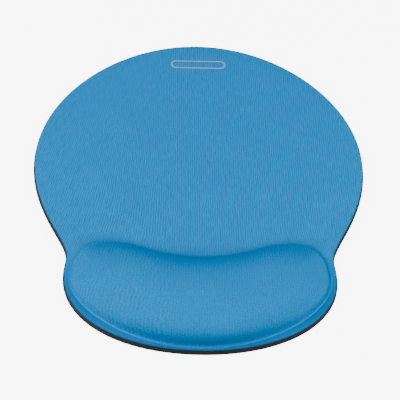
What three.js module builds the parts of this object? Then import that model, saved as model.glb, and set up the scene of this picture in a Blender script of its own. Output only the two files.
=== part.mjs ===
// A mouse mat with a wrist cushion, laid up like the real thing: a thin grip skin and a soft
// base underneath, a gel pouch standing in a shallow pocket of the base, a bonding film over
// both, and one stretch cloth moulded over everything. The outline narrows at a neck and the
// cushion, a bean in plan, lies across the narrower end where the wrists rest.
//
// Millimetres. +X is the user's right, +Y points away from the user, +Z is up. The origin is on
// the table, midway across and midway front to back.
import * as THREE from "three";
import { mergeVertices } from "three/addons/utils/BufferGeometryUtils.js";

// ---- driving sizes ----
// Mat outline, on the cloth's cut edge
const matWidth = 220; // across the round head
const wristWidth = 171; // across the narrower end, at its widest
const neckNotch = 1.05; // how far each flank pulls in at the neck
const headRun = 105.5; // far edge to the head's widest line
const flankRun = 79.1; // widest line to the neck
const neckRun = 12.9; // neck to the narrower end's widest line
const wristRun = 54.3; // that line to the front edge

// Layers, from the table up
const gripThick = 0.8;
const baseThick = 2.65;
const bondThick = 0.15;
const clothThick = 0.6;
const skinThick = 0.25; // each skin of the gel pouch
const layerGap = 0.1; // between layers where they curve over the cushion

// Base edge: cut with a slight slope, so it shows a little beyond the cloth
const edgeStep = 0.2; // beyond the cloth at its top
const edgeSlope = 0.8; // and this much further out at the table

// Wrist cushion
const totalHeight = 20; // table to the crest of the cushion
const endFall = 10; // the crown comes down by this towards the cushion's two ends
const endPower = 2.5; // a higher power keeps the crown level further out
const sideFlange = 3.7; // flat cloth left beside the cushion, measured at the neck
const frontFlange = 3.1; // flat cloth left in front of it
const sideDrop = 3.3; // the cushion is widest this far nearer the user than the mat's end is
const lobeReach = 10.8; // the two rear lobes pass the neck line by this
const lobeInset = 23.2; // from the cushion's side to the middle of a lobe
const waistDip = 11; // the rear edge dips this much between the lobes
const crestInset = 27; // from the cushion's side to the end of the crest line
const crestShare = 0.375; // the crest's place between the front foot and the waist
const frontCurve = [2.9, 0.36]; // power and root of the front wall: upright, with a tight shoulder
const rearCurve = [1.75, 0.65]; // and of the rear, a long even slope
const turnStart = -0.85; // the one blends into the other between these turns of the edge,
const turnEnd = 0.5; // from -1 where it faces the user to 1 where it faces away
const rimSetback = 1.2; // the pouch's weld rim stops this far short of the cloth's front edge
const pocketGap = 0.3; // all round the weld rim, inside its pocket in the base

// Printed mark near the far edge
const markWidth = 39;
const markDepth = 7.5;
const markLine = 1.1;
const markThick = 0.06;
const markInset = 18; // far edge to the middle of the mark

// ---- heights and places that follow ----
const baseTop = gripThick + baseThick;
const clothBottom = baseTop + bondThick;
const clothTop = clothBottom + clothThick;
const pocketFloor = baseTop - 2 * skinThick;
const rimBottom = baseTop - skinThick;

const farY = (headRun + flankRun + neckRun + wristRun) / 2;
const widestY = farY - headRun;
const neckY = widestY - flankRun;
const wristY = neckY - neckRun;
const frontY = wristY - wristRun;

const cushionSide = wristWidth / 2 - neckNotch - sideFlange;
const cushionFront = frontY + frontFlange;
const cushionWideY = wristY - sideDrop;
const lobeX = cushionSide - lobeInset;
const lobeY = neckY + lobeReach;
const waistY = lobeY - waistDip;
const rimWidth = frontFlange - rimSetback;

// ---- outlines ----
// A smooth bend between two points that leaves the first along one axis (0 is X, 1 is Y) and
// reaches the second along another. A pull is the handle's share of the run along its axis.
function bend(start, startAxis, startPull, end, endAxis, endPull) {
  const first = [...start];
  const second = [...end];
  first[startAxis] += (end[startAxis] - start[startAxis]) * startPull;
  second[endAxis] -= (end[endAxis] - start[endAxis]) * endPull;
  const corners = [start, first, second, end].map(([x, y]) => new THREE.Vector2(x, y));
  return new THREE.CubicBezierCurve(...corners);
}

const X = 0;
const Y = 1;

// Right halves, from the front centre round to the far centre, each with its steps
const matEdge = [
  [bend([0, frontY], X, 0.58, [wristWidth / 2, wristY], Y, 0.6), 9],
  [bend([wristWidth / 2, wristY], Y, 0.48, [wristWidth / 2 - neckNotch, neckY], Y, 0.27), 4],
  [bend([wristWidth / 2 - neckNotch, neckY], Y, 0.16, [matWidth / 2, widestY], Y, 0.53), 9],
  [bend([matWidth / 2, widestY], Y, 0.52, [0, farY], X, 0.53), 14],
];
const cushionEdge = [
  [bend([0, cushionFront], X, 0.58, [cushionSide, cushionWideY], Y, 0.4), 12],
  [bend([cushionSide, cushionWideY], Y, 0.61, [lobeX, lobeY], X, 0.74), 8],
  [bend([lobeX, lobeY], X, 0.32, [0, waistY], X, 0.54), 8],
];

// A closed ring, counterclockwise from the front centre, moved outwards by outset
function ring(halfEdge, outset = 0) {
  const right = [];
  for (const [curve, steps] of halfEdge) {
    for (let step = right.length ? 1 : 0; step <= steps; step += 1) {
      const point = curve.getPoint(step / steps);
      const along = curve.getTangent(step / steps);
      right.push(new THREE.Vector2(point.x + along.y * outset, point.y - along.x * outset));
    }
  }
  const left = right.slice(1, -1).reverse();
  return [...right, ...left.map((point) => new THREE.Vector2(-point.x, point.y))];
}

// ---- surfaces, as lists of triangles ----
function atHeight(points, z) {
  return points.map((point) => new THREE.Vector3(point.x, point.y, z));
}

// The band between two rings of equal count, facing outwards when the second is above
function band(lower, upper) {
  return lower.flatMap((corner, index) => {
    const next = (index + 1) % lower.length;
    return [
      [corner, lower[next], upper[next]],
      [corner, upper[next], upper[index]],
    ];
  });
}

// The area inside a ring, less an optional hole, facing up
function area(outer, hole = []) {
  const holes = hole.length ? [hole] : [];
  const corners = [...outer, ...hole];
  return THREE.ShapeUtils.triangulateShape(outer, holes).map(([a, b, c]) => {
    const [p, q, r] = [corners[a], corners[b], corners[c]];
    const turn = (q.x - p.x) * (r.y - p.y) - (q.y - p.y) * (r.x - p.x);
    return turn > 0 ? [p, q, r] : [p, r, q];
  });
}

function turnedOver(triangles) {
  return triangles.map(([a, b, c]) => [a, c, b]);
}

// ---- the cushion's form ----
// Rows from the foot (1) in to the crest line (0), closer together on the steep wall
const rowShares = [1, 0.985, 0.95, 0.88, 0.76, 0.58, 0.34, 0.12];

// 0 where the cushion's edge faces the user, 1 where it faces away
function rearward(foot, index) {
  const along = foot[(index + 1) % foot.length].clone().sub(foot.at(index - 1)).normalize();
  return THREE.MathUtils.smoothstep(-along.x, turnStart, turnEnd);
}

// Height share at a row
function riseAt(share, rear) {
  const [power, root] = frontCurve.map((front, at) => THREE.MathUtils.lerp(front, rearCurve[at], rear));
  return (1 - share ** power) ** root;
}

// The crest line bows towards the user in the middle, as the bean does
function crestPoint(foot) {
  const x = foot.x * (1 - crestInset / cushionSide);
  const middleY = cushionFront + (waistY - cushionFront) * crestShare;
  const endY = cushionWideY - (cushionWideY - cushionFront) * 0.17;
  const reach = x / (cushionSide - crestInset);
  return new THREE.Vector2(x, middleY + (endY - middleY) * reach ** 2);
}

// The dome at some depth inside the cushion's outer face, rising from a flat plane
function domeRows(inset, planeZ) {
  const foot = ring(cushionEdge, -inset);
  return rowShares.map((share) =>
    foot.map((edge, index) => {
      const place = crestPoint(edge).lerp(edge, share);
      const fall = endFall * Math.abs(place.x / cushionSide) ** endPower;
      const rise = (totalHeight - fall - inset - planeZ) * riseAt(share, rearward(foot, index));
      return new THREE.Vector3(place.x, place.y, planeZ + rise);
    }),
  );
}

function domeSurface(rows) {
  const bands = rows.slice(1).flatMap((row, index) => band(rows[index], row));
  return [...bands, ...area(rows.at(-1))];
}

// A flat sheet with the dome formed in it: inset and planeZ belong to its upper face
function domedSheet(outline, planeZ, inset, thick) {
  const over = domeRows(inset, planeZ);
  const under = domeRows(inset + thick, planeZ - thick);
  const topEdge = atHeight(outline, planeZ);
  const bottomEdge = atHeight(outline, planeZ - thick);
  return [
    ...area(topEdge, over[0]),
    ...domeSurface(over),
    ...band(bottomEdge, topEdge),
    ...turnedOver(area(bottomEdge, under[0])),
    ...turnedOver(domeSurface(under)),
  ];
}

// A flat slab between two rings, with an optional pocket sunk in its top
function slab(bottom, top, pocket = [], floorZ = 0) {
  const triangles = [...turnedOver(area(bottom)), ...band(bottom, top), ...area(top, pocket)];
  if (pocket.length) {
    const floor = atHeight(pocket, floorZ);
    triangles.push(...turnedOver(band(floor, pocket)), ...area(floor));
  }
  return triangles;
}

// ---- pieces ----
function piece(name, triangles, color, roughness, extra = {}) {
  const shape = mergeVertices(new THREE.BufferGeometry().setFromPoints(triangles.flat()), 1e-4);
  shape.computeVertexNormals();
  const material = new THREE.MeshStandardMaterial({ color, roughness, metalness: 0, ...extra });
  const mesh = new THREE.Mesh(shape, material);
  mesh.name = name;
  return mesh;
}

// Where the sloping edge of the base lies at a height
function baseRing(z) {
  return atHeight(ring(matEdge, edgeStep + edgeSlope * (1 - z / baseTop)), z);
}

function gripSkin() {
  return piece("grip_skin", slab(baseRing(0), baseRing(gripThick)), 0x25272b, 0.9);
}

function basePad() {
  const pocket = atHeight(ring(cushionEdge, rimWidth + pocketGap), baseTop);
  const shape = slab(baseRing(gripThick), baseRing(baseTop), pocket, pocketFloor);
  return piece("base_pad", shape, 0x34383f, 0.85);
}

function pouchBottomSkin() {
  const rim = ring(cushionEdge, rimWidth);
  const shape = slab(atHeight(rim, pocketFloor), atHeight(rim, rimBottom));
  return piece("pouch_bottom_skin", shape, 0xd5dade, 0.35);
}

const bondInset = clothThick + layerGap;
const pouchInset = bondInset + bondThick + layerGap;
const gelInset = pouchInset + skinThick + layerGap;

function gelCore() {
  const rows = domeRows(gelInset, rimBottom);
  return piece("gel_core", [...domeSurface(rows), ...turnedOver(area(rows[0]))], 0x9fc4d8, 0.2);
}

function pouchTopSkin() {
  const rim = ring(cushionEdge, rimWidth);
  return piece("pouch_top_skin", domedSheet(rim, baseTop, pouchInset, skinThick), 0xd5dade, 0.35);
}

function bondingFilm() {
  const shape = domedSheet(ring(matEdge), clothBottom, bondInset, bondThick);
  return piece("bonding_film", shape, 0x1a1d22, 0.5);
}

function clothCover() {
  return piece("cloth_cover", domedSheet(ring(matEdge), clothTop, 0, clothThick), 0x3096cd, 0.85);
}

// A round-ended outline drawn with one printed line
function pill(inset) {
  const radius = markDepth / 2 - inset;
  const endX = (markWidth - markDepth) / 2;
  const shape = new THREE.Path();
  shape.absarc(endX, 0, radius, -Math.PI / 2, Math.PI / 2);
  shape.absarc(-endX, 0, radius, Math.PI / 2, Math.PI * 1.5);
  return shape.getPoints(8).map((point) => point.add(new THREE.Vector2(0, farY - markInset)));
}

function printedMark() {
  const [outer, inner] = [pill(0), pill(markLine)];
  const [outerLow, innerLow] = [outer, inner].map((line) => atHeight(line, clothTop));
  const [outerTop, innerTop] = [outer, inner].map((line) => atHeight(line, clothTop + markThick));
  const triangles = [
    ...area(outerTop, innerTop),
    ...turnedOver(area(outerLow, innerLow)),
    ...band(outerLow, outerTop),
    ...turnedOver(band(innerLow, innerTop)),
  ];
  return piece("printed_mark", triangles, 0xa9a9c4, 0.6);
}

const mat = new THREE.Group();
mat.add(gripSkin(), basePad(), pouchBottomSkin(), gelCore(), pouchTopSkin());
mat.add(bondingFilm(), clothCover(), printedMark());

export default mat;
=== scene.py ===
import math

import bmesh
import bpy
from mathutils import Matrix, Vector
from mathutils.geometry import tessellate_polygon


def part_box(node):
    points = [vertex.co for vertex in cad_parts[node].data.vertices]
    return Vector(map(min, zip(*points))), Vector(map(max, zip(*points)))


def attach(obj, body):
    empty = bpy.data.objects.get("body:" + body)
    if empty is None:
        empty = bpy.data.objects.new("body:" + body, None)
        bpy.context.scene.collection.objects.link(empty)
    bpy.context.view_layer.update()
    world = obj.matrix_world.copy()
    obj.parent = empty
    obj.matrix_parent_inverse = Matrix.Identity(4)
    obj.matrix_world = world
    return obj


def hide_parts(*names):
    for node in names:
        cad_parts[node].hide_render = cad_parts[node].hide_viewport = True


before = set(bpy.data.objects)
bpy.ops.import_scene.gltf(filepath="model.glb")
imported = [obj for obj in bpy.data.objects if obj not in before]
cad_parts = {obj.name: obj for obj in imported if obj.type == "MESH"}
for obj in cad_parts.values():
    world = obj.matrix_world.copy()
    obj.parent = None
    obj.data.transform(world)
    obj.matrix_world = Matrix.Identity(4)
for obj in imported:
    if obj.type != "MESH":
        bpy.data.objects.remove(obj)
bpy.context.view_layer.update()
print("frame loaded:", ", ".join(sorted(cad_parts)))

mm = 0.001

# The mat's outline, on the cloth's cut edge
matShape = {
    "wristWidth": 171 * mm,
    "neckNotch": 1.05 * mm,
    "headRun": 105.5 * mm,
    "flankRun": 79.1 * mm,
    "neckRun": 12.9 * mm,
    "points": 400,  # round the whole outline
    "spokes": 4000,  # tried in placing them
}

# The cushion: its foot, where the wall meets the flat cloth, then its crown and slopes
cushionShape = {
    "sideFlange": 3.7 * mm,
    "frontFlange": 3.1 * mm,
    "sideDrop": 3.3 * mm,
    "lobeReach": 10.8 * mm,
    "lobeInset": 23.2 * mm,
    "waistDip": 11 * mm,
    "crestInset": 27 * mm,
    "endFall": 10 * mm,  # the crown comes down towards both ends
    "endPower": 2.5,
    "crestShare": 0.375,  # of the way from the front foot to the waist
    "crestBow": 0.17,  # of the way from the widest line to the front, at the crest's ends
    "frontCurve": (2.9, 0.36),  # upright wall, tight shoulder and a broad crown
    "rearCurve": (1.75, 0.65),  # a long even slope
    "footFillet": 0.9 * mm,  # the tight turn from the wall to the flat cloth, and its height
    "footHeight": 1.1 * mm,
    "rearFillet": 9 * mm,  # the cloth's slack behind the cushion, and its height
    "rearLift": 0.5 * mm,
    "beadStart": 0.75,  # of the fillet's width, where the fine bead in front begins
    "beadWidth": 1.2 * mm,
    "beadHeight": 0.12 * mm,
    "sheetTurn": 0.3 * mm,  # the sheets inside lie flat from this far beyond the foot
}

clothLow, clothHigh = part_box("cloth_cover")
matSide = clothHigh.x
farY = clothHigh.y
frontY = clothLow.y
widestY = farY - matShape["headRun"]
neckY = widestY - matShape["flankRun"]
wristY = neckY - matShape["neckRun"]
wristSide = matShape["wristWidth"] / 2
neckSide = wristSide - matShape["neckNotch"]

cushionSide = neckSide - cushionShape["sideFlange"]
cushionFront = frontY + cushionShape["frontFlange"]
cushionWideY = wristY - cushionShape["sideDrop"]
lobeX = cushionSide - cushionShape["lobeInset"]
lobeY = neckY + cushionShape["lobeReach"]
waistY = lobeY - cushionShape["waistDip"]

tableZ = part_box("grip_skin")[0].z
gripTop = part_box("grip_skin")[1].z
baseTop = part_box("base_pad")[1].z
clothBottom = clothLow.z
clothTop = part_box("printed_mark")[0].z
crestZ = clothHigh.z
alongX, alongY = 0, 1


def bend(start, startAxis, startPull, end, endAxis, endPull, steps=80):
    # Leaves start along one axis and reaches end along another. A pull is a share of the run.
    first, second = list(start), list(end)
    first[startAxis] += (end[startAxis] - start[startAxis]) * startPull
    second[endAxis] -= (end[endAxis] - start[endAxis]) * endPull
    corners = [Vector(corner) for corner in (start, first, second, end)]
    points = []
    for step in range(steps + 1):
        t = step / steps
        shares = ((1 - t) ** 3, 3 * (1 - t) ** 2 * t, 3 * (1 - t) * t * t, t**3)
        points.append(sum((c * s for c, s in zip(corners, shares)), Vector((0, 0))))
    return points


def wholeRing(bends):
    # From the front centre round the right side to the far centre, then mirrored
    half = [point for line in bends for point in line[line is not bends[0]:]]
    half[0].x = half[-1].x = 0
    return half + [Vector((-p.x, p.y)) for p in half[-2:0:-1]]


def turnAt(point, hub):
    # Angle round the hub from the front centre, counterclockwise
    return math.atan2(point.x - hub.x, hub.y - point.y) % math.tau


def alongTurns(ring, hub):
    # Turn and share of the ring's length at each of its points
    reach, table = 0.0, [(0.0, 0.0, ring[0])]
    for here, ahead in zip(ring, ring[1:] + ring[:1]):
        reach += (ahead - here).length
        table.append((turnAt(ahead, hub) or math.tau, reach, ahead))
    return [(turn, length / reach, point) for turn, length, point in table]


def lookUp(table, turn):
    # Share of length and point where the ring crosses that turn
    low, high = 0, len(table) - 1
    while high - low > 1:
        middle = (low + high) // 2
        low, high = (middle, high) if table[middle][0] <= turn else (low, middle)
    here, ahead = table[low], table[high]
    share = (turn - here[0]) / (ahead[0] - here[0])
    return here[1] + (ahead[1] - here[1]) * share, here[2].lerp(ahead[2], share)


def matchedRings(outer, inner, hub, count):
    # Both rings cut by the same spokes, spaced to suit the two lengths alike
    tables = [alongTurns(outer, hub), alongTurns(inner, hub)]
    spokes = matShape["spokes"]
    fine = [math.tau * step / spokes for step in range(spokes + 1)]
    spread = [sum(lookUp(table, turn)[0] for table in tables) / 2 for turn in fine]
    rings, at = ([], []), 0
    for step in range(count):
        while spread[at + 1] < step / count:
            at += 1
        share = (step / count - spread[at]) / (spread[at + 1] - spread[at])
        turn = fine[at] + (fine[at + 1] - fine[at]) * share
        for ring, table in zip(rings, tables):
            ring.append(lookUp(table, turn)[1])
    return rings


def outset(ring, distance):
    # Moves a counterclockwise ring outwards
    moved = []
    for index, point in enumerate(ring):
        along = (ring[(index + 1) % len(ring)] - ring[index - 1]).normalized()
        moved.append(Vector((point.x + along.y * distance, point.y - along.x * distance)))
    return moved


matOutline = wholeRing(
    [
        bend((0, frontY), alongX, 0.58, (wristSide, wristY), alongY, 0.6),
        bend((wristSide, wristY), alongY, 0.48, (neckSide, neckY), alongY, 0.27),
        bend((neckSide, neckY), alongY, 0.16, (matSide, widestY), alongY, 0.53),
        bend((matSide, widestY), alongY, 0.52, (0, farY), alongX, 0.53),
    ]
)
footOutline = wholeRing(
    [
        bend((0, cushionFront), alongX, 0.58, (cushionSide, cushionWideY), alongY, 0.4),
        bend((cushionSide, cushionWideY), alongY, 0.61, (lobeX, lobeY), alongX, 0.74),
        bend((lobeX, lobeY), alongX, 0.32, (0, waistY), alongX, 0.54),
    ]
)
hub = Vector((0, (cushionFront + waistY) / 2))
matRing, footRing = matchedRings(matOutline, footOutline, hub, matShape["points"])
print("outlines drawn:", len(matRing), "points each")


# Shares of the way from the crest line to the foot, closer together on the steep wall
domeShares = [0.04, 0.1, 0.18, 0.27, 0.36, 0.45, 0.53, 0.6, 0.66, 0.715, 0.765, 0.81, 0.85]
domeShares += [0.882, 0.91, 0.933, 0.953, 0.969, 0.981, 0.99, 0.996, 0.9988]

# Each blend runs between two turns of the foot, from -1 facing the user to 1 facing away
turnBlends = {
    "slope": (-0.85, 0.5),  # from the front wall's curve to the rear's
    "slack": (-0.1, 0.55),  # from the pressed flange in front to the slack cloth behind
    "middle": (-1, -0.92),  # the bead's painted highlight grows clearer
    "front": (-1, -0.9),  # the painted shade on the cloth right in front of the cushion ends
    "creaseShade": (-0.95, -0.35),  # the crease's painted shade deepens
    "brow": (-0.9, -0.3),  # the front wall's own shade ends
    "ends": (-0.8, -0.2),  # the bead's painted highlight fades
    "far": (0.45, 0.95),  # the rear slope's shade and the painted shade in the hollow behind it set in
}


def smooth(value, low, high):
    share = min(max((value - low) / (high - low), 0), 1)
    return share * share * (3 - 2 * share)


def rearward(index, blend):
    # 0 before the blend's first turn, 1 past its second
    along = footRing[(index + 1) % len(footRing)] - footRing[index - 1]
    return smooth(-along.normalized().x, *turnBlends[blend])


slopes = [rearward(index, "slope") for index in range(len(footRing))]


def rise(share, rear):
    curves = zip(cushionShape["frontCurve"], cushionShape["rearCurve"])
    power, root = [front + (back - front) * rear for front, back in curves]
    return (1 - share**power) ** root


def crestPoint(foot):
    # The crest line bows towards the user in the middle, as the bean does
    x = foot.x * (1 - cushionShape["crestInset"] / cushionSide)
    middleY = cushionFront + (waistY - cushionFront) * cushionShape["crestShare"]
    endY = cushionWideY - (cushionWideY - cushionFront) * cushionShape["crestBow"]
    reach = x / (cushionSide - cushionShape["crestInset"])
    return Vector((x, middleY + (endY - middleY) * reach**2))


def domePoint(foot, share, inset, planeZ, rear):
    # On the way from the crest line to the foot, the inset below the cover's outer face
    place = crestPoint(foot).lerp(foot, share)
    fall = cushionShape["endFall"] * abs(place.x / cushionSide) ** cushionShape["endPower"]
    top = crestZ - fall - inset
    return Vector((place.x, place.y, planeZ + (top - planeZ) * rise(share, rear)))


def domeRows(inset, planeZ):
    foot = outset(footRing, -inset)
    return [
        [domePoint(edge, share, inset, planeZ, rear) for edge, rear in zip(foot, slopes)]
        for share in domeShares
    ]


def flat(ring, z):
    return [Vector((point.x, point.y, z)) for point in ring]


def between(inner, outer, shares, z):
    # Level rows at those shares of the way from the one ring to the other
    return [[Vector((*a.lerp(b, s), z)) for a, b in zip(inner, outer)] for s in shares]


def closedMesh(name, rows, wrapped=False):
    # Quads between rows of equal count. The end rows are filled in, or joined if wrapped.
    mesh = bpy.data.meshes.new(name)
    build = bmesh.new()
    rings = [[build.verts.new(point) for point in row] for row in rows]
    for inner, outer in zip(rings, rings[1:] + (rings[:1] if wrapped else [])):
        for index in range(len(inner)):
            ahead = (index + 1) % len(inner)
            build.faces.new((inner[index], inner[ahead], outer[ahead], outer[index]))
    if not wrapped:
        for ring, row in ((rings[0], rows[0]), (rings[-1], rows[-1])):
            for corners in tessellate_polygon([row]):
                build.faces.new([ring[corner] for corner in corners])
    bmesh.ops.recalc_face_normals(build, faces=build.faces)
    build.to_mesh(mesh)
    build.free()
    mesh.shade_smooth()
    piece = bpy.data.objects.new(name, mesh)
    bpy.context.collection.objects.link(piece)
    return piece


def settle(piece, node, finish):
    piece.data.materials.clear()
    piece.data.materials.append(finish)
    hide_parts(node)
    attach(piece, "root")
    print("made", piece.name, "with", len(piece.data.vertices), "vertices")


def store(piece, name, kind, values):
    layer = piece.data.attributes.new(name, kind, "POINT")
    field = "vector" if kind == "FLOAT_VECTOR" else "value"
    flatValues = [n for value in values for n in value] if field == "vector" else values
    layer.data.foreach_set(field, flatValues)


class Wire:
    # Wraps a socket, so that a sum on it adds its own Math nodes

    def __init__(self, tree, socket=None):
        self.tree = tree
        self.socket = socket

    def node(self, kind, settings=None, inputs=None, output=0):
        made = self.tree.nodes.new(kind)
        for name, value in (settings or {}).items():
            setattr(made, name, value)
        for name, value in (inputs or {}).items():
            if isinstance(value, Wire):
                self.tree.links.new(value.socket, made.inputs[name])
            else:
                made.inputs[name].default_value = value
        return Wire(self.tree, made.outputs[output])

    def maths(self, operation, first, second=0.0, clamp=False):
        settings = {"operation": operation, "use_clamp": clamp}
        return self.node("ShaderNodeMath", settings, {0: first, 1: second})

    def __add__(self, other):
        return self.maths("ADD", self, other)

    def __radd__(self, other):
        return self.maths("ADD", other, self)

    def __sub__(self, other):
        return self.maths("SUBTRACT", self, other)

    def __rsub__(self, other):
        return self.maths("SUBTRACT", other, self)

    def __mul__(self, other):
        return self.maths("MULTIPLY", self, other)

    def __rmul__(self, other):
        return self.maths("MULTIPLY", other, self)

    def __truediv__(self, other):
        return self.maths("DIVIDE", self, other)

    def wave(self):
        # 0 to 1 and back, once for each whole step of the value
        return 0.5 + 0.5 * self.maths("SINE", self * math.tau)

    def held(self):
        return self.maths("ADD", self, 0.0, clamp=True)


def startFinish(name, constants):
    finish = bpy.data.materials.new(name)
    finish.use_nodes = True
    shader = finish.node_tree.nodes["Principled BSDF"]
    for socket, value in constants.items():
        shader.inputs[socket].default_value = value
    return finish, Wire(finish.node_tree), shader


def feed(paint, shader, **sockets):
    names = {"colour": "Base Color", "roughness": "Roughness", "normal": "Normal"}
    for name, wire in sockets.items():
        paint.tree.links.new(wire.socket, shader.inputs[names[name]])


def mixed(paint, share, first, second, blend="MIX"):
    settings = {"data_type": "RGBA", "blend_type": blend}
    colours = [c if isinstance(c, Wire) else (*c, 1) for c in (first, second)]
    return paint.node("ShaderNodeMix", settings, {0: share, 6: colours[0], 7: colours[1]}, 2)


def mark(paint, name):
    return paint.node("ShaderNodeAttribute", {"attribute_name": name}, output=2)


def grainOf(paint):
    return paint.node("ShaderNodeAttribute", {"attribute_name": "grain"}, output=1)


def placeOf(paint):
    return paint.node("ShaderNodeTexCoord", output=3)


def noisy(paint, place, scale, detail=3.0, roughness=0.55):
    values = {"Vector": place, "Scale": scale, "Detail": detail, "Roughness": roughness}
    return paint.node("ShaderNodeTexNoise", None, values)


def bumped(paint, height, strength, distance):
    values = {"Height": height, "Strength": strength, "Distance": distance}
    return paint.node("ShaderNodeBump", None, values)


def dress(paint, shader, look, colour, rough, height):
    # The roughness has its least value and what rough adds. The bump has a strength and a depth.
    least, added = look["roughness"]
    feed(paint, shader, colour=colour, roughness=least + added * rough,
         normal=bumped(paint, height, *look["bump"]))


clothLook = {
    "dye": (0.0, 0.24, 0.61),
    "paintedShadeColour": (0.0, 0.15, 0.42),  # painted shade on the cushion's slopes, along its foot and on the cloth in front of it
    "pressedDye": (0.0, 0.188, 0.52),
    "beadHighlight": (0.0, 0.37, 0.74),
    "hollowShadeColour": (0.03, 0.13, 0.32),
    "fray": (0.03, 0.11, 0.2),
    "ribPitch": 1.45 * mm,
    "ribStrength": 0.47,
    "ribWander": 1.4,
    "evenRibs": 0.6,
    "brokenRibs": 1.3,  # streaks that break the ribs up
    "ribLift": 0.2,
    "streakWidth": 0.6 * mm,
    "streakLength": 7 * mm,
    "fuzzSize": 0.8 * mm,
    "fuzzStrength": 0.68,
    "domeFuzz": 0.95,  # the same over the cushion
    "domeRibs": 0.45,  # how much of the ribs is left where the cloth is stretched over it
    "knitPitch": 0.62 * mm,
    "coursePitch": 0.5 * mm,
    "knitStrength": 0.07,
    "blotchScale": 34.0,
    "blotchStrength": 0.12,
    "driftScale": 260.0,
    "driftStrength": 0.05,
    "ribCalm": 0.8,  # how much of each the pressed cloth loses
    "fuzzCalm": 0.85,
    "knitCalm": 0.5,
    "reliefCalm": 0.7,
    "roughness": 0.92,
    "pressedGloss": 0.3,
    "ribGloss": 0.06,
    "bump": (0.35, 0.12 * mm),
}


def clothFinish():
    look = clothLook
    constants = {"Specular IOR Level": 0.12, "Specular Tint": (0.0, 0.3, 1.0, 1.0)}
    finish, paint, shader = startFinish("stretchCloth", constants)
    grain = grainOf(paint)
    across = paint.node("ShaderNodeSeparateXYZ", None, {"Vector": grain})
    along = Wire(paint.tree, across.socket.node.outputs[1])
    pressed, bead, dome = mark(paint, "pressed"), mark(paint, "bead"), mark(paint, "dome")
    blotch = noisy(paint, grain, look["blotchScale"])
    drift = noisy(paint, grain, look["driftScale"], 2.0)
    fuzz = noisy(paint, grain, 1 / look["fuzzSize"], 2.0, 0.6)
    stretched = {"Vector": grain, "Scale": (1 / look["streakWidth"], 1 / look["streakLength"], 1)}
    threads = paint.node("ShaderNodeMapping", {"vector_type": "POINT"}, stretched)
    streaks = noisy(paint, threads, 1.0, 2.0, 0.6)
    ribs = (across / look["ribPitch"] + (drift - 0.5) * look["ribWander"]).wave()
    ribs = ribs * look["evenRibs"] + (streaks - 0.5) * look["brokenRibs"]
    ribs = (ribs + look["ribLift"]).held()
    calm = (look["ribCalm"] * pressed + bead).held()
    ribDepth = (1 - calm) * (1 - (1 - look["domeRibs"]) * dome)
    wales = (across / look["knitPitch"]).wave()
    courses = (along / look["coursePitch"] + 0.5 * wales).wave()
    knit = wales * courses
    extra = look["domeFuzz"] - look["fuzzStrength"]
    fuzzDepth = (look["fuzzStrength"] + extra * dome) * (1 - look["fuzzCalm"] * pressed)
    tone = 1 + (ribs - 0.5) * look["ribStrength"] * ribDepth
    tone = tone + (fuzz - 0.5) * fuzzDepth
    tone = tone + (knit - 0.25) * look["knitStrength"] * (1 - look["knitCalm"] * pressed)
    tone = tone + (blotch - 0.5) * look["blotchStrength"] + (drift - 0.5) * look["driftStrength"]
    grey = paint.node("ShaderNodeCombineXYZ", None, {0: tone, 1: tone, 2: tone})
    colour = mixed(paint, pressed, look["dye"], look["pressedDye"])
    # painted shade: darker colour on the cushion's slopes, along its foot and on the cloth in front
    # of it
    colour = mixed(paint, mark(paint, "paintedShade"), colour, look["paintedShadeColour"])
    # painted highlight along the fine bead in front of the cushion
    colour = mixed(paint, bead, colour, look["beadHighlight"])
    colour = mixed(paint, 1.0, colour, grey, "MULTIPLY")
    # painted shade in the hollow behind the cushion
    colour = mixed(paint, mark(paint, "hollowShade"), colour, look["hollowShadeColour"])
    colour = mixed(paint, mark(paint, "fray"), colour, look["fray"])
    height = knit * (1 - look["reliefCalm"] * pressed) + ribs * 0.5 * ribDepth
    roughness = look["roughness"] - look["pressedGloss"] * pressed - look["ribGloss"] * ribs
    feed(paint, shader, colour=colour, roughness=roughness,
         normal=bumped(paint, height, *look["bump"]))
    return finish


coverLook = {
    "outerRows": 34,  # from the foot of the cushion out to the cut edge
    "crowding": 0.56,  # rows crowd towards the foot where the flat cloth is wider
    "narrow": 3 * mm,  # than this
    "edgeSetbacks": (0.35 * mm, 0.12 * mm, 0),  # the last rows follow the cut edge closely
    "edgeDrop": 0.16 * mm,  # the cut edge is pressed down by this
    "edgeRun": 0.8 * mm,
    "underShares": [0.3, 0.7, 0.95],  # from the cut edge to the foot, underneath
    "innerShares": [0.998, 0.97, 0.9, 0.78, 0.6, 0.35, 0.04],
    "lean": 0.31,  # how far the grain leans at the left edge
    "leanStart": -20 * mm,
    "fan": 0.06,  # how far it spreads where the mat meets the cushion
    "fanRun": 9 * mm,
}

# How strong each mark on the cover is, and what it runs between: shares of the way from the
# crest to the foot on the dome, and distances out from the foot beyond it
coverMarks = {
    "frontShade": 0.03,
    "farShade": 0.6,
    "shadeShares": (0.6, 0.97),
    "shadeLead": 0.3,  # the rear slope's shade starts this much higher up
    "creaseShade": (0.15, 0.75),  # painted shade all round, and added on the right
    "creaseSide": (0.3, 0.95),  # of the way out to the cushion's right side
    "creaseShares": (0.94, 0.985),
    "creaseRun": (0.4 * mm, 1.3 * mm),
    "frontFlangeShade": 0.85,
    "frontFlangeShadeRun": (0.3 * mm, 1 * mm),
    "flangeWidth": (9 * mm, 26 * mm),  # the mould presses flanges up to this wide
    "pressedStart": 0.7,  # of the way out to the bead's far side
    "beadStart": 0.8,  # of the fillet's width
    "beadEdges": (0.3 * mm, 0.4 * mm),
    "beadMiddle": 0.25,  # what is left of the bead's painted highlight in the middle
    "beadFade": 0.8,  # what it loses towards the cushion's ends
    "frayRun": (0.5 * mm, 0.1 * mm),  # in from the cut edge
    "ribReturn": 5 * mm,  # the ribs come back over this distance behind the cushion
    "hollowShade": 0.6,  # painted shade on the cloth in the hollow there
    "hollowShadeRun": 13 * mm,
}


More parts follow.
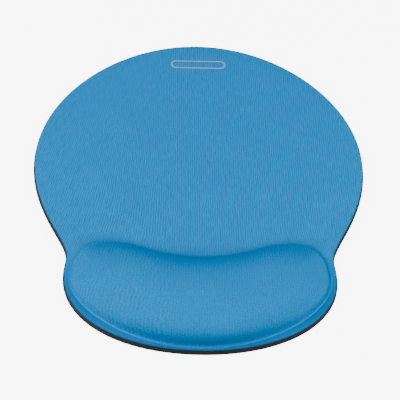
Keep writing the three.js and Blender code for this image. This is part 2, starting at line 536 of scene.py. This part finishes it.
def footLift(distance, rear):
    shape = cushionShape
    fillet = shape["footHeight"] * max(0, 1 - distance / shape["footFillet"]) ** 3
    slope = shape["rearLift"] * max(0, 1 - distance / shape["rearFillet"]) ** 2
    reach = (distance - shape["beadStart"] * shape["footFillet"]) / shape["beadWidth"]
    bead = shape["beadHeight"] * math.sin(math.pi * min(max(reach, 0), 1)) ** 2
    return fillet + rear * slope + (1 - rear) * bead


def draped(point, index):
    # Near the foot the dome runs out at the height that the flat cloth starts with
    height, lift = point.z - clothTop, footLift(0, rearward(index, "slack"))
    return Vector((point.x, point.y, clothTop + (height**4 + lift**4) ** 0.25))


def outerSteps():
    # Shares of the way out to the cut edge, then setbacks from it
    count = coverLook["outerRows"]
    steps = [(step / count, None) for step in range(count + 1)]
    return steps + [(1, setback) for setback in coverLook["edgeSetbacks"]]


def outerPoint(index, share, setback):
    look = coverLook
    foot, edge = footRing[index], matRing[index]
    width = (edge - foot).length
    power = 1 + look["crowding"] * math.log10(max(width / look["narrow"], 1))
    distance = (width - look["edgeRun"]) * share**power
    if setback is not None:
        distance = width - setback
    place = foot.lerp(edge, distance / width)
    z = clothTop + footLift(distance, rearward(index, "slack"))
    z -= look["edgeDrop"] * max(0, 1 - (width - distance) / look["edgeRun"]) ** 2
    return Vector((*place, z)), distance, width


def grainAt(x, y, behind=0.0):
    start = coverLook["leanStart"]
    lean = coverLook["lean"] * max(0, start - x) / (start + matSide)
    spread = coverLook["fan"] * math.exp(-behind / coverLook["fanRun"])
    return ((x - lean * y) * (1 - spread), y, 0)


def creaseShade(index):
    # Painted shade along the crease round the cushion, darker on the right
    least, added = coverMarks["creaseShade"]
    side = smooth(footRing[index].x / cushionSide, *coverMarks["creaseSide"])
    return least + added * (side * rearward(index, "creaseShade"))


def crownMarks(index, share):
    look = coverMarks
    depth = look["frontShade"] * (1 - rearward(index, "brow"))
    depth += look["farShade"] * rearward(index, "far")
    start, end = look["shadeShares"]
    # painted shade, deeper on the rear slope than on the front wall, and along the crease
    shade = smooth(share, start - look["shadeLead"] * slopes[index], end) * depth
    creaseShadow = creaseShade(index) * smooth(share, *look["creaseShares"])
    return {"paintedShade": max(shade, creaseShadow), "dome": 1.0}


def outerMarks(index, distance, width):
    look = coverMarks
    beadStart = look["beadStart"] * cushionShape["footFillet"]
    beadEnd = cushionShape["footFillet"] + cushionShape["beadWidth"]
    inner, outer = look["beadEdges"]
    onBead = smooth(distance, beadStart, beadStart + inner)
    onBead *= 1 - smooth(distance, beadEnd - outer, beadEnd)
    clear = look["beadMiddle"] + (1 - look["beadMiddle"]) * rearward(index, "middle")
    ends = 1 - look["beadFade"] * rearward(index, "ends")
    rim = (1 - rearward(index, "slack")) * (1 - smooth(width, *look["flangeWidth"]))
    # painted shade on the flat cloth right in front of the cushion's middle
    front = look["frontFlangeShade"] * (1 - rearward(index, "front"))
    creaseShadow = creaseShade(index) * (1 - smooth(distance, *look["creaseRun"]))
    fray = [width - setback for setback in look["frayRun"]]
    hollowShade = max(0, 1 - distance / look["hollowShadeRun"]) ** 1.5
    return {
        "pressed": rim * smooth(distance, look["pressedStart"] * beadEnd, beadEnd),
        # painted shade along the crease and on the cloth just in front of the cushion
        "paintedShade": max(creaseShadow, front * smooth(distance, *look["frontFlangeShadeRun"])),
        "fray": smooth(distance, *fray),
        # painted highlight on the bead
        "bead": rim * onBead * clear * ends,
        "dome": 1 - smooth(distance, 0, look["ribReturn"]),
        "hollowShade": look["hollowShade"] * rearward(index, "far") * hollowShade,
    }


def pathShares(path):
    # How far along the path each of its points lies
    lengths = [0.0]
    for here, ahead in zip(path, path[1:]):
        lengths.append(lengths[-1] + (ahead - here).length)
    return [length / lengths[-1] for length in lengths]


def note(marks, values):
    # One vertex's share of each mark, 0 where it isn't given
    for name, column in marks.items():
        column.append(values.get(name, 0.0))


def makeCover():
    marks = {name: [] for name in ("pressed", "paintedShade", "fray", "bead", "dome", "hollowShade")}
    grain, around = [], range(len(footRing))
    rows = [[draped(point, i) for i, point in enumerate(row)] for row in domeRows(0, clothTop)]
    # The cloth stretches evenly along each path from the crest down to the foot
    paths = [[row[i] for row in rows] for i in around]
    spans = [pathShares(path) for path in paths]
    for step, share in enumerate(domeShares):
        for i in around:
            foot = Vector((*footRing[i], 0))
            place = paths[i][0].lerp(foot, spans[i][step])
            grain.append(grainAt(place.x, place.y))
            note(marks, crownMarks(i, share))
    for share, setback in outerSteps():
        row = []
        for i in around:
            point, distance, width = outerPoint(i, share, setback)
            row.append(point)
            grain.append(grainAt(point.x, point.y, distance))
            note(marks, outerMarks(i, distance, width))
        rows.append(row)
    # Underneath: back in along the flat, then up inside the cushion
    thick = clothTop - clothBottom
    inner = outset(footRing, -thick)
    under = [flat(matRing, clothBottom)]
    under += between(matRing, inner, coverLook["underShares"], clothBottom)
    under += [
        [domePoint(edge, share, thick, clothBottom, rear) for edge, rear in zip(inner, slopes)]
        for share in coverLook["innerShares"]
    ]
    for row in under:
        rows.append(row)
        for point in row:
            grain.append(grainAt(point.x, point.y))
            note(marks, {"fray": 1.0 if row is under[0] else 0.0})
    cover = closedMesh("clothCover", rows)
    store(cover, "grain", "FLOAT_VECTOR", grain)
    for name, values in marks.items():
        store(cover, name, "FLOAT", values)
    settle(cover, "cloth_cover", clothFinish())
    return cover


clothCover = makeCover()
flatArea = sum(
    (a.x * b.y - b.x * a.y) / 2 for a, b in zip(matOutline, matOutline[1:] + matOutline[:1])
)


baseLook = {
    "edgeStep": 0.2 * mm,
    "edgeRows": 6,
    "belly": 0.12 * mm,  # the cut side bellies in, as soft foam does behind a blade
    "pocketReach": 2.2 * mm,  # from the cushion's foot out to the pocket's wall
    "rimReach": 1.9 * mm,  # and out to the rim of the gel pouch
    "stripShare": 0.05,  # of the way from the crest to the foot, for a strip that closes flat faces
    "foam": (0.04, 0.045, 0.056),
    "foamCell": (0.016, 0.019, 0.026),
    "cellSize": 0.5 * mm,
    "cellContrast": 1.5,
    "smearScale": 120.0,
    "smearStrength": 0.8,
    "roughness": (0.75, 0.2),
    "bump": (0.5, 0.2 * mm),
}
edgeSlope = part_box("grip_skin")[1].x - matSide - baseLook["edgeStep"]
crestStrip = [crestPoint(edge).lerp(edge, baseLook["stripShare"]) for edge in footRing]


def baseEdge(z, inset=0.0):
    reach = baseLook["edgeStep"] + edgeSlope * (1 - z / baseTop)
    return flat(outset(matRing, reach - inset), z)


def foamFinish():
    look = baseLook
    finish, paint, shader = startFinish("baseFoam", {"Specular IOR Level": 0.25})
    place = placeOf(paint)
    values = {"Vector": place, "Scale": 1 / look["cellSize"]}
    cells = paint.node("ShaderNodeTexVoronoi", None, values)
    smear = noisy(paint, place, look["smearScale"])
    skin = (cells * look["cellContrast"] + (smear - 0.5) * look["smearStrength"]).held()
    dress(paint, shader, look, mixed(paint, skin, look["foamCell"], look["foam"]), smear, skin)
    return finish


def makeBase():
    rim = outset(footRing, baseLook["pocketReach"])
    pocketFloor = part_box("pouch_bottom_skin")[0].z
    rows = [flat(crestStrip, pocketFloor), flat(rim, pocketFloor), flat(rim, baseTop)]
    rows += between(rim, matRing, [0.4, 0.8], baseTop)
    steps = baseLook["edgeRows"]
    for step in range(steps + 1):
        z = baseTop + (gripTop - baseTop) * step / steps
        rows.append(baseEdge(z, baseLook["belly"] * math.sin(math.pi * step / steps)))
    rows += between(matRing, crestStrip, [0.1, 0.5, 1], gripTop)
    settle(closedMesh("basePad", rows), "base_pad", foamFinish())


makeBase()


gripLook = {
    "pipPitch": 5 * mm,
    "pipRadius": 1.5 * mm,
    "pipHeight": 0.3 * mm,
    "pipSides": 10,
    "pipRows": [(0.86, 0.55), (0.6, 0.88), (0.3, 1)],  # shares of its radius and height
    "pipRoot": 0.1 * mm,  # sunk into the plate
    "margin": 3.2 * mm,  # plain border round the pips
    "edgeRound": 0.12 * mm,
    "rimWidth": 1.6 * mm,  # a low rim that stands as high as the pips, and its slope's far side
    "rimEnd": 2 * mm,
    "rubber": (0.03, 0.032, 0.037),
    "dust": (0.075, 0.078, 0.083),
    "cloudScale": 60.0,
    "cloudLevel": 0.45,
    "cloudContrast": 2.2,
    "fineScale": 2600.0,
    "dustShares": (0.35, 0.25),  # from the clouds, and from the fine grain
    "roughness": (0.62, 0.3),
    "bump": (0.3, 0.08 * mm),
}


def gripFinish():
    look = gripLook
    finish, paint, shader = startFinish("gripRubber", {"Specular IOR Level": 0.35})
    place = placeOf(paint)
    cloud = noisy(paint, place, look["cloudScale"])
    cloud = ((cloud - look["cloudLevel"]) * look["cloudContrast"]).held()
    fine = noisy(paint, place, look["fineScale"], 2.0)
    clouded, speckled = look["dustShares"]
    dusty = cloud * clouded + fine * speckled
    dress(paint, shader, look, mixed(paint, dusty, look["rubber"], look["dust"]), fine, fine)
    return finish


def insideOutline(x, y, margin):
    # Crossing count against the mat's outline, then a check of the distance to it
    inside = False
    for a, b in zip(matRing, matRing[1:] + matRing[:1]):
        if (a.y > y) != (b.y > y) and x < a.x + (y - a.y) * (b.x - a.x) / (b.y - a.y):
            inside = not inside
    return inside and min((p.x - x) ** 2 + (p.y - y) ** 2 for p in matRing) > margin**2


def pip(build, x, y, plateZ):
    # A low round dome hanging from the plate
    look, rings = gripLook, []
    profile = [(1, plateZ + look["pipRoot"]), (1, plateZ)]
    profile += [(share, plateZ - drop * look["pipHeight"]) for share, drop in look["pipRows"]]
    turns = [math.tau * side / look["pipSides"] for side in range(look["pipSides"])]
    for share, z in profile:
        radius = look["pipRadius"] * share
        spots = [(x + radius * math.cos(t), y + radius * math.sin(t), z) for t in turns]
        rings.append([build.verts.new(spot) for spot in spots])
    for upper, lower in zip(rings, rings[1:]):
        for side in range(look["pipSides"]):
            ahead = (side + 1) % look["pipSides"]
            build.faces.new((upper[ahead], upper[side], lower[side], lower[ahead]))
    build.faces.new(rings[0])
    build.faces.new(rings[-1][::-1])


def makeGrip():
    look = gripLook
    plateZ = tableZ + look["pipHeight"]
    rows = [flat(crestStrip, gripTop)] + between(crestStrip, matRing, [0.5, 0.95], gripTop)
    rows += [baseEdge(gripTop), baseEdge(tableZ + look["edgeRound"])]
    rows += [baseEdge(tableZ, look["edgeRound"]), flat(outset(matRing, -look["rimWidth"]), tableZ)]
    plate = outset(matRing, -look["rimEnd"])
    rows += [flat(plate, plateZ)] + between(plate, crestStrip, [0.4, 1], plateZ)
    grip = closedMesh("gripSkin", rows)
    build = bmesh.new()
    build.from_mesh(grip.data)
    pitch, lineGap = look["pipPitch"], look["pipPitch"] * math.sqrt(0.75)
    across, deep = int(matSide / pitch) + 1, int(farY / lineGap) + 1
    made = 0
    for line in range(-deep, deep + 1):
        for step in range(-across, across + 1):
            x, y = (step + 0.5 * (line % 2)) * pitch, line * lineGap
            if insideOutline(x, y, look["margin"] + look["pipRadius"]):
                pip(build, x, y, plateZ)
                made += 1
    build.to_mesh(grip.data)
    build.free()
    grip.data.shade_smooth()
    print("grip pips:", made)
    settle(grip, "grip_skin", gripFinish())


makeGrip()


filmLook = {
    "overhang": 0.05 * mm,
    "film": (0.004, 0.009, 0.016),
    "scuff": (0.02, 0.03, 0.042),
    "streakScale": 900.0,
    "scuffLevel": 0.35,
    "roughness": (0.45, 0.35),
    "bump": (0.2, 0.05 * mm),
}


def filmFinish():
    look = filmLook
    finish, paint, shader = startFinish("bondingFilm", {"Specular IOR Level": 0.3})
    streak = noisy(paint, placeOf(paint), look["streakScale"])
    scuffed = (streak - look["scuffLevel"]).held()
    colour = mixed(paint, scuffed, look["film"], look["scuff"])
    dress(paint, shader, look, colour, streak, streak)
    return finish


def formedSheet(name, outline, planeZ, inset, thick):
    # A thin sheet that lies flat round the cushion and follows its dome
    over, under = domeRows(inset, planeZ), domeRows(inset + thick, planeZ - thick)
    turn = outset(footRing, cushionShape["sheetTurn"])
    rows = over + [flat(turn, planeZ), flat(outline, planeZ)]
    rows += [flat(outline, planeZ - thick), flat(turn, planeZ - thick)]
    return closedMesh(name, rows + under[::-1])


def layerInset(node):
    # How far inside the cover's outer face that layer's dome lies, from its height
    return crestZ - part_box(node)[1].z


def makeBondingFilm():
    outline = outset(matRing, filmLook["overhang"])
    inset, thick = layerInset("bonding_film"), clothBottom - baseTop
    film = formedSheet("bondingFilm", outline, clothBottom, inset, thick)
    settle(film, "bonding_film", filmFinish())


makeBondingFilm()


pouchLook = {
    "skin": (0.62, 0.66, 0.7),
    "haze": (0.8, 0.83, 0.86),
    "hazeScale": 140.0,
    "roughness": (0.2, 0.25),
    "bump": (0.15, 0.2 * mm),
}


def skinFinish():
    look = pouchLook
    constants = {"Specular IOR Level": 0.5, "Transmission Weight": 0.35, "IOR": 1.5}
    finish, paint, shader = startFinish("pouchSkin", constants)
    haze = noisy(paint, placeOf(paint), look["hazeScale"])
    dress(paint, shader, look, mixed(paint, haze, look["skin"], look["haze"]), haze, haze)
    return finish


def makePouch():
    finish = skinFinish()
    rim = outset(footRing, baseLook["rimReach"])
    low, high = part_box("pouch_bottom_skin")
    top = formedSheet("pouchTopSkin", rim, baseTop, layerInset("pouch_top_skin"), high.z - low.z)
    settle(top, "pouch_top_skin", finish)
    rows = [flat(crestStrip, high.z), flat(rim, high.z), flat(rim, low.z), flat(crestStrip, low.z)]
    settle(closedMesh("pouchBottomSkin", rows), "pouch_bottom_skin", finish)


makePouch()


gelLook = {
    "shrink": 0.8 * mm,  # starts this much inside its pouch, then swells
    "voxel": 4 * mm,
    "pressure": 4,
    "frames": 20,
    "cap": 0.7 * mm,
    "tint": (0.34, 0.55, 0.68),
    "clear": (0.5, 0.68, 0.78),
    "depthScale": 45.0,
    "bubbleScale": 700.0,
    "roughness": (0.08, 0.2),
    "bump": (0.2, 0.8 * mm),
}


def gelFinish():
    look = gelLook
    constants = {"Specular IOR Level": 0.5, "Transmission Weight": 0.6, "IOR": 1.41}
    finish, paint, shader = startFinish("gel", constants)
    place = placeOf(paint)
    depth = noisy(paint, place, look["depthScale"])
    bubbles = noisy(paint, place, look["bubbleScale"], 1.0)
    dress(paint, shader, look, mixed(paint, depth, look["tint"], look["clear"]), bubbles, depth)
    return finish


def swell(piece, look):
    # Pressure from inside, the flat bottom held by its weight, each point moved by the cap at most
    bpy.context.view_layer.objects.active = piece
    shape = piece.modifiers.new("remesh", "REMESH")
    shape.mode, shape.voxel_size = "VOXEL", look["voxel"]
    bpy.ops.object.modifier_apply(modifier=shape.name)
    before = [vertex.co.copy() for vertex in piece.data.vertices]
    floorZ = min(point.z for point in before)
    held = piece.vertex_groups.new(name="held")
    held.add([i for i, p in enumerate(before) if p.z < floorZ + 0.5 * look["voxel"]], 1, "REPLACE")
    cloth = piece.modifiers.new("cloth", "CLOTH")
    cloth.settings.vertex_group_mass = "held"
    cloth.settings.use_pressure = True
    cloth.settings.uniform_pressure_force = look["pressure"]
    cloth.settings.effector_weights.gravity = 0
    cloth.point_cache.frame_start, cloth.point_cache.frame_end = 1, look["frames"]
    for moment in range(1, look["frames"] + 1):
        bpy.context.scene.frame_set(moment)
    swollen = piece.evaluated_get(bpy.context.evaluated_depsgraph_get())
    after = [vertex.co.copy() for vertex in swollen.data.vertices]
    piece.modifiers.remove(cloth)
    for vertex, start, end in zip(piece.data.vertices, before, after):
        move = end - start
        vertex.co = start + move * min(1, look["cap"] / max(move.length, 1e-9))
    bpy.context.scene.frame_set(1)
    finer = piece.modifiers.new("finer", "SUBSURF")
    finer.levels = finer.render_levels = 1
    bpy.ops.object.modifier_apply(modifier=finer.name)
    piece.data.shade_smooth()
    print("swelled", piece.name, "over", look["frames"], "frames")


def makeGel():
    inset = layerInset("gel_core") + gelLook["shrink"]
    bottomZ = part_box("gel_core")[0].z
    foot = outset(footRing, -inset)
    rows = domeRows(inset, bottomZ) + [flat(foot, bottomZ)]
    rows += between(foot, crestStrip, [0.3, 0.6, 1], bottomZ)
    gel = closedMesh("gelCushion", rows)
    swell(gel, gelLook)
    settle(gel, "gel_core", gelFinish())


makeGel()


markLook = {
    "width": 39 * mm,
    "depth": 7.5 * mm,
    "line": 1.1 * mm,
    "softEdge": 0.12 * mm,
    "arcSteps": 24,
    "ink": (0.42, 0.36, 0.62),
    "wornInk": (0.22, 0.28, 0.55),
    "wearScale": 700.0,
    "wearLevel": 0.25,
    "wearShares": (0.7, 0.3),  # from handling, and from the threads underneath
    "roughness": (0.5, 0.3),
    "bump": (0.3, 0.06 * mm),
}


def inkFinish():
    look = markLook
    finish, paint, shader = startFinish("print", {"Specular IOR Level": 0.3})
    place = placeOf(paint)
    across = paint.node("ShaderNodeSeparateXYZ", None, {"Vector": place})
    threads = (across / clothLook["knitPitch"]).wave()
    handled, woven = look["wearShares"]
    rubbed = noisy(paint, place, look["wearScale"])
    wear = (rubbed * handled + threads * woven - look["wearLevel"]).held()
    dress(paint, shader, look, mixed(paint, wear, look["ink"], look["wornInk"]), wear, threads)
    return finish


def pill(inset, z):
    low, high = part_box("printed_mark")
    middleY = (low.y + high.y) / 2
    radius = markLook["depth"] / 2 - inset
    endX = (markLook["width"] - markLook["depth"]) / 2
    points = []
    for side, start in ((1, -math.pi / 2), (-1, math.pi / 2)):
        for step in range(markLook["arcSteps"] + 1):
            turn = start + math.pi * step / markLook["arcSteps"]
            x, y = side * endX + radius * math.cos(turn), middleY + radius * math.sin(turn)
            points.append(Vector((x, y, z)))
    return points


def makeMark():
    low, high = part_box("printed_mark")
    line, soft = markLook["line"], markLook["softEdge"]
    profile = [(0, low.z), (soft, high.z), (line - soft, high.z), (line, low.z)]
    printed = closedMesh("printedMark", [pill(inset, z) for inset, z in profile], wrapped=True)
    settle(printed, "printed_mark", inkFinish())


makeMark()


cameraView = {
    "azimuth": -3.71,
    "elevation": 53,
    "roll": 3.9,
    "distance": 791 * mm,
    "lens": 108,
    "sensor": 36,
    "target": (0.2 * mm, -10.14 * mm, 0),
}


def makeCamera():
    look = cameraView
    turn, lift = math.radians(look["azimuth"]), math.radians(look["elevation"])
    level = math.cos(lift)
    back = Vector((math.sin(turn) * level, -math.cos(turn) * level, math.sin(lift)))
    right = Vector((math.cos(turn), math.sin(turn), 0))
    facing = Matrix((right, back.cross(right), back)).transposed()
    facing = facing @ Matrix.Rotation(math.radians(look["roll"]), 3, "Z")
    place = Matrix.Translation(Vector(look["target"]) + back * look["distance"])
    camera = bpy.data.objects.new("camera", bpy.data.cameras.new("camera"))
    camera.data.lens = look["lens"]
    camera.data.sensor_width = look["sensor"]
    camera.matrix_world = place @ facing.to_4x4()
    bpy.context.collection.objects.link(camera)
    bpy.context.scene.camera = camera
    print("camera placed")


# Metres. Each light has its place, what it points at, its width and its power.
studioLook = {
    "lights": {
        "left": ((-0.9, -0.1, 0.5), (0, -0.02, 0), 0.6, 10.7),
        "right": ((0.9, -0.1, 0.5), (0, -0.02, 0), 0.6, 8.7),
        "front": ((0, -0.9, 0.6), (0, -0.02, 0), 0.6, 3.4),
        "overhead": ((0, 0, 1.3), (0, 0, 0), 2.0, 4.5),
    },
    "skyStrength": 0.08,
    "floorReach": 10.0,  # from its middle to each side
    "floorGap": 0.05 * mm,  # under the mat
    "floorShade": (0.93, 0.93, 0.93, 1),
    "floorRoughness": 0.6,
    "floorGlow": 7,
}


def softLight(name, place, aim, size, power):
    lamp = bpy.data.lights.new(name, "AREA")
    lamp.shape = "DISK"
    lamp.size = size
    lamp.energy = power
    holder = bpy.data.objects.new(name, lamp)
    holder.location = place
    holder.rotation_euler = (Vector(aim) - Vector(place)).to_track_quat("-Z", "Y").to_euler()
    bpy.context.collection.objects.link(holder)


def makeFloor():
    # A lit table that casts no glow upwards
    look = studioLook
    reach = look["floorReach"]
    corners = [(-reach, -reach, 0), (reach, -reach, 0), (reach, reach, 0), (-reach, reach, 0)]
    mesh = bpy.data.meshes.new("floor")
    mesh.from_pydata(corners, [], [(0, 1, 2, 3)])
    floor = bpy.data.objects.new("floor", mesh)
    floor.location.z = tableZ - look["floorGap"]
    bpy.context.collection.objects.link(floor)
    constants = {
        "Base Color": look["floorShade"],
        "Roughness": look["floorRoughness"],
        "Emission Color": (1, 1, 1, 1),
        "Emission Strength": look["floorGlow"],
    }
    floor.data.materials.append(startFinish("paleFloor", constants)[0])
    floor.visible_diffuse = floor.visible_glossy = False


def makeStudio():
    world = bpy.data.worlds.new("studio")
    bpy.context.scene.world = world
    world.use_nodes = True
    sky = world.node_tree.nodes["Background"]
    sky.inputs["Color"].default_value = (1, 1, 1, 1)
    sky.inputs["Strength"].default_value = studioLook["skyStrength"]
    for name, settings in studioLook["lights"].items():
        softLight(name, *settings)
    makeFloor()
    print("studio lit")


makeStudio()
makeCamera()
